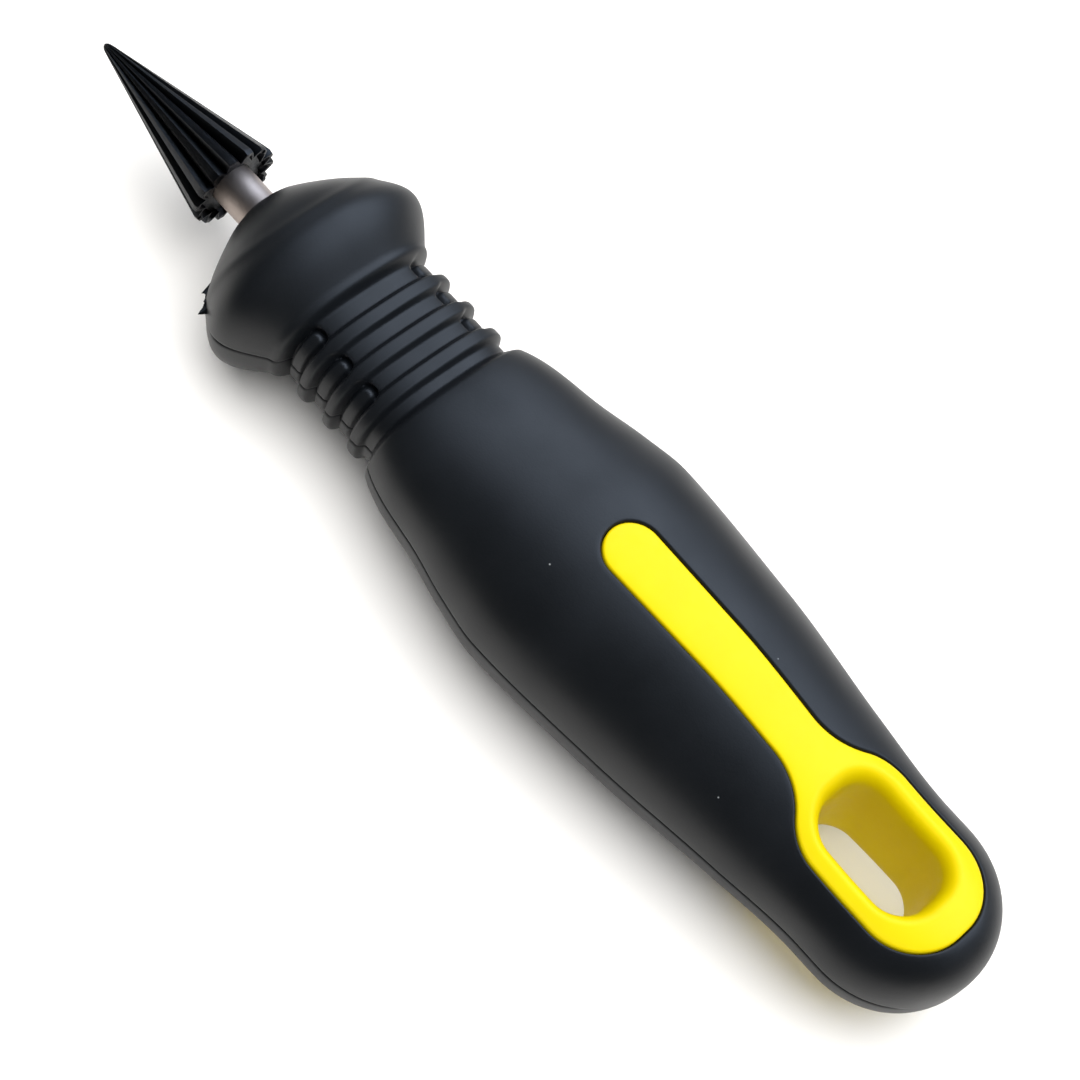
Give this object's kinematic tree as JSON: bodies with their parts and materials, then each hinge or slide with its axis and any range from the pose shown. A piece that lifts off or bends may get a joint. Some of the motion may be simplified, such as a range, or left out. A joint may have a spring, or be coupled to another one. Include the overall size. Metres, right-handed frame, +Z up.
{
  "type": "hand taper reamer",
  "caption": "Hand taper reamer: a fluted steel cone on a short shank, in a ribbed soft-grip handle with a bright inlay and a hanging slot.",
  "frame": {"origin": "on the table below the middle of the tool, which lies on its belly", "axes": "+X along the tool from the cutter tip to the hanging slot; +Z up, along the hanging slot's own axis; +Y across the handle"},
  "size_m": [0.1282, 0.0292, 0.0188],
  "materials": {
    "black_oxide_steel": "black oxide",
    "bright_steel": "ground",
    "yellow_plastic": "semi-gloss",
    "black_rubber": "satin"
  },
  "bodies": {
    "root": {"cutter_cone": "black_oxide_steel", "shank": "bright_steel", "handle_core": "yellow_plastic", "soft_grip": "black_rubber"}
  },
  "joints": []
}
